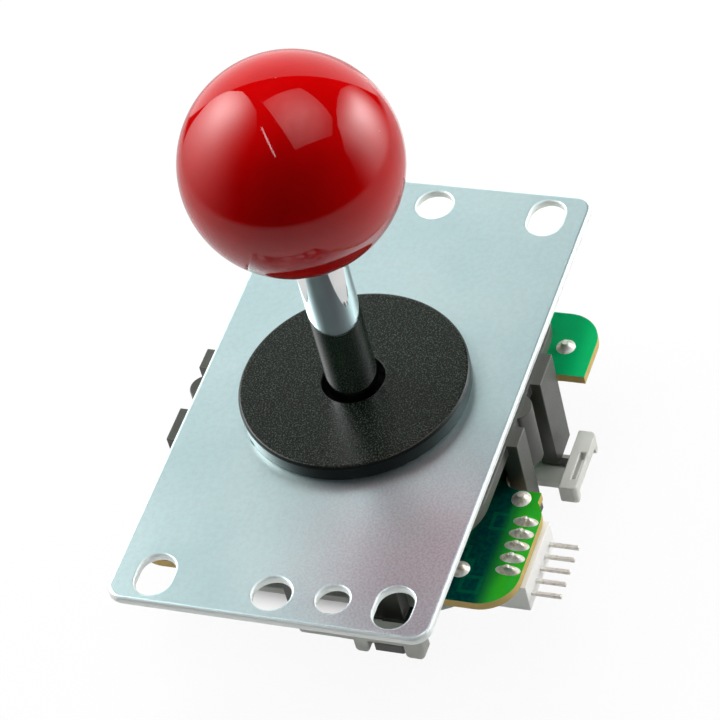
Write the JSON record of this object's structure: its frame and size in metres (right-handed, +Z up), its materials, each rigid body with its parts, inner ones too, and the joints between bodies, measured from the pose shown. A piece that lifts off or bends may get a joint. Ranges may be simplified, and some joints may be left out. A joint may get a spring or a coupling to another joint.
{
  "type": "arcade joystick lever",
  "caption": "Arcade joystick lever with a ball top, chromed shaft, dust washer and mounting plate, over a housing with switches, circuit board and square restrictor gate.",
  "frame": {"origin": "centre of the mounting plate's upper face, on the axis of the lever at rest", "axes": "+Z up to the ball, X along the plate's long side, wire header on the -Y side"},
  "size_m": [0.095, 0.0737, 0.095],
  "materials": {
    "red_ball": "glossy moulded plastic, polished",
    "insert_brass": "turned brass",
    "shaft_chrome": "chromed and polished steel",
    "pivot_plastic": "self-lubricating moulded plastic",
    "spring_steel": "drawn spring wire",
    "black_plastic": "moulded plastic, fine satin",
    "clip_steel": "blackened spring steel",
    "washer_plastic": "moulded plastic with a fine grain",
    "zinc_plate": "bright zinc plating with a bluish tint",
    "screw_zinc": "bright zinc plating",
    "board_green": "green solder mask on a tan laminate",
    "header_white": "natural nylon",
    "tinned_metal": "tinned",
    "solder": "bright solder",
    "gate_pale": "natural, slightly milky plastic",
    "switch_black": "moulded plastic",
    "button_red": "moulded plastic"
  },
  "bodies": {
    "base": {"dust_washer": "washer_plastic", "mounting_plate": "zinc_plate", "plate_screws": "screw_zinc", "main_body": "black_plastic", "circuit_board": "board_green", "header_block": "header_white", "header_pins": "tinned_metal", "solder_joints": "solder", "restrictor_gate": "gate_pale", "switch_case_right": "switch_black", "switch_terminals_right": "tinned_metal", "switch_case_front": "switch_black", "switch_terminals_front": "tinned_metal", "switch_case_left": "switch_black", "switch_terminals_left": "tinned_metal", "switch_case_back": "switch_black", "switch_terminals_back": "tinned_metal"},
    "spring": {"return_spring": "spring_steel"},
    "pivot": {"pivot_ball": "pivot_plastic", "spring_pan": "black_plastic"},
    "lever": {"shaft": "shaft_chrome", "ball_top": "red_ball", "ball_insert": "insert_brass", "actuator": "black_plastic", "e_clip": "clip_steel"},
    "button_right": {"switch_button_right": "button_red"},
    "button_front": {"switch_button_front": "button_red"},
    "button_left": {"switch_button_left": "button_red"},
    "button_back": {"switch_button_back": "button_red"}
  },
  "joints": [
    {"name": "tilt_x", "type": "hinge", "parent": "base", "child": "spring", "pos_m": [0, 0, -0.0015], "axis": [1, 0, 0], "range_deg": [-8, 8], "stiffness_Nm_per_rad": 0.6, "deforming": ["return_spring"]},
    {"name": "tilt_y", "type": "hinge", "parent": "spring", "child": "pivot", "pos_m": [0, 0, -0.0015], "axis": [0, 1, 0], "range_deg": [-8, 8], "stiffness_Nm_per_rad": 0.6, "deforming": ["return_spring"]},
    {"name": "shaft_spin", "type": "hinge", "parent": "pivot", "child": "lever", "pos_m": [0, 0, -0.0015], "axis": [0, 0, 1], "continuous": true},
    {"name": "button_right_travel", "type": "slide", "parent": "base", "child": "button_right", "axis": [0, -1, 0], "range_m": [-0.00081, 0.00081]},
    {"name": "button_front_travel", "type": "slide", "parent": "base", "child": "button_front", "axis": [-1, 0, 0], "range_m": [-0.00081, 0.00081]},
    {"name": "button_left_travel", "type": "slide", "parent": "base", "child": "button_left", "axis": [0, 1, 0], "range_m": [-0.00081, 0.00081]},
    {"name": "button_back_travel", "type": "slide", "parent": "base", "child": "button_back", "axis": [1, 0, 0], "range_m": [-0.00081, 0.00081]}
  ],
  "couplings": [
    {"joint": "button_right_travel", "follows": "tilt_x", "m_per_rad": -0.0057296},
    {"joint": "button_front_travel", "follows": "tilt_y", "m_per_rad": 0.0057296},
    {"joint": "button_left_travel", "follows": "tilt_x", "m_per_rad": 0.0057296},
    {"joint": "button_back_travel", "follows": "tilt_y", "m_per_rad": -0.0057296}
  ]
}
